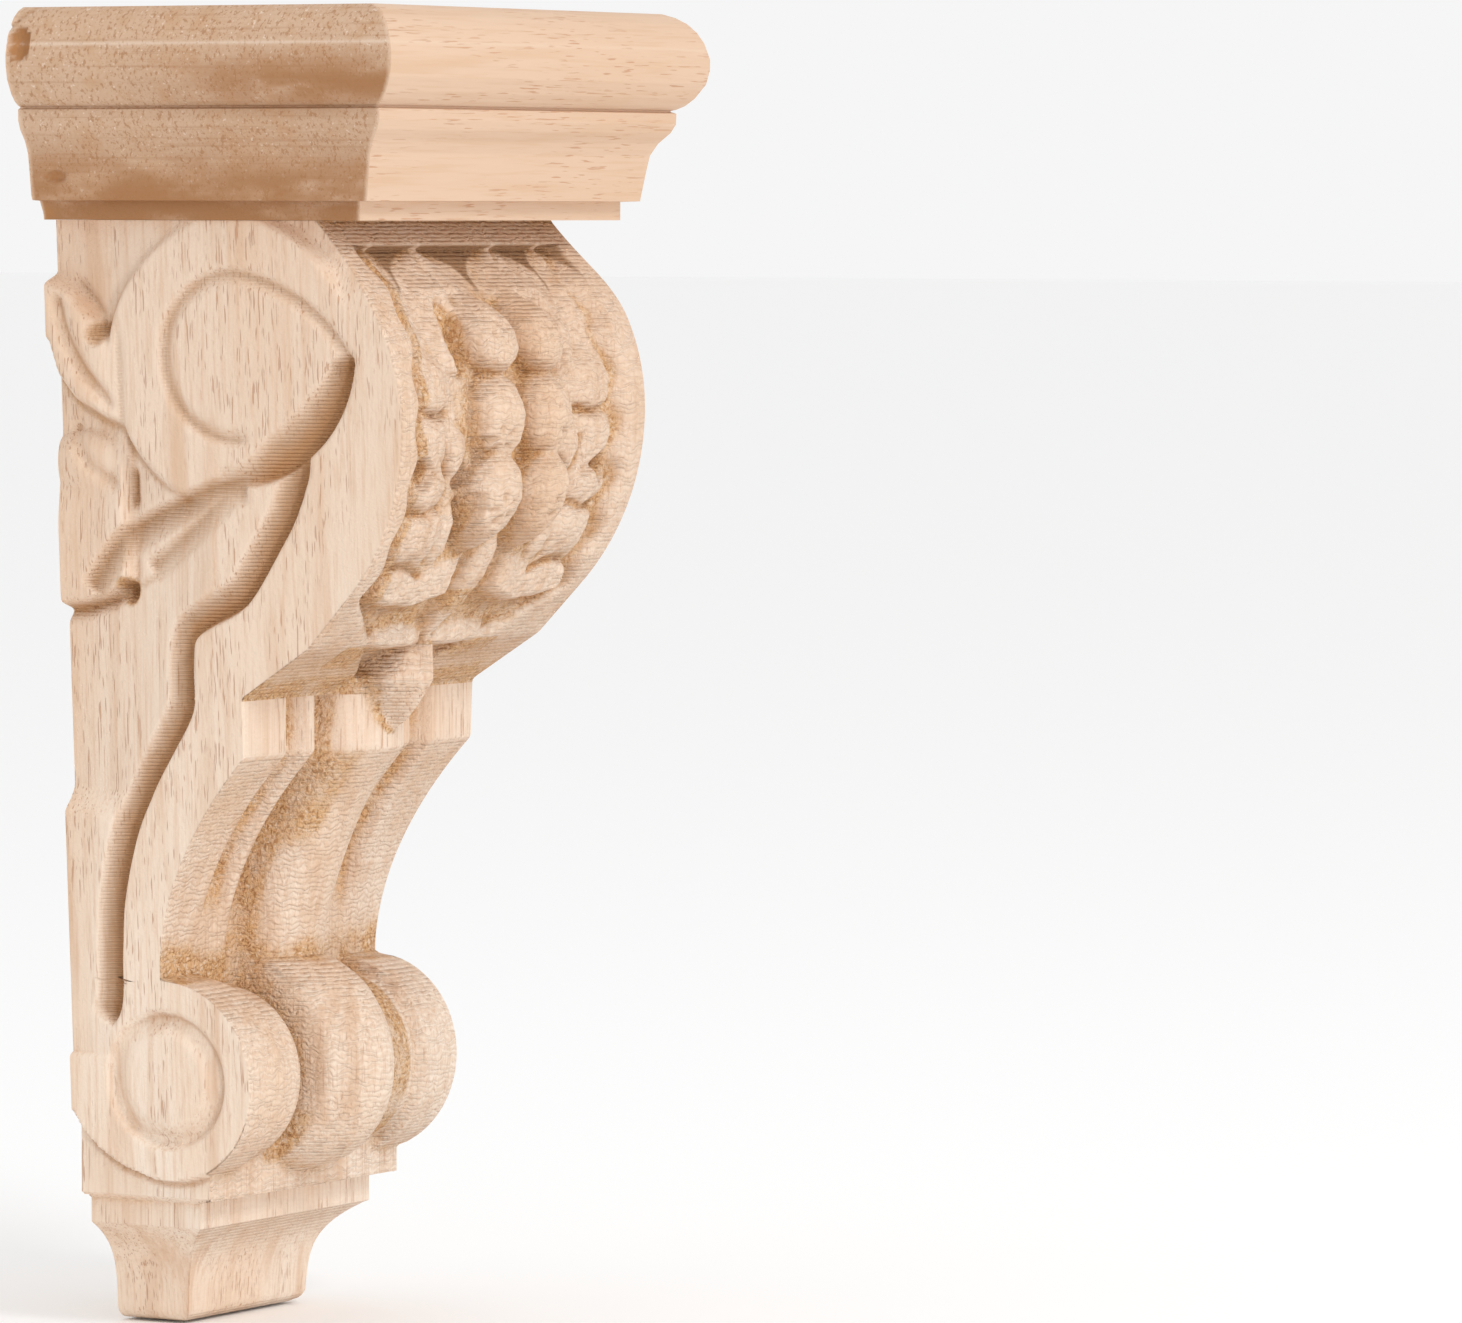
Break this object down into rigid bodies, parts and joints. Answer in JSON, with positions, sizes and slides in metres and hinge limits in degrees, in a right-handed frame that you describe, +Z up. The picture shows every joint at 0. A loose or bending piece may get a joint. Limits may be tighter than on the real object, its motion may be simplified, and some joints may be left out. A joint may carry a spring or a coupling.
{
  "type": "carved wood corbel",
  "caption": "Carved wood corbel for one side of a mantel or shelf: moulded cap board on a scroll bracket with leaves and fruit.",
  "frame": {"origin": "on the flat back that goes against the wall, in the middle of its width and at mid height", "axes": "+Z up, +Y into the wall, -Y out to the carved front, +X to the right as one faces the wall"},
  "size_m": [0.1112, 0.0818, 0.24],
  "materials": {
    "carved_wood": "bare, unfinished, machine carved, grain upright",
    "cap_wood": "bare, unfinished, moulded, grain across"
  },
  "bodies": {
    "root": {"body": "carved_wood", "cap": "cap_wood"}
  },
  "joints": []
}
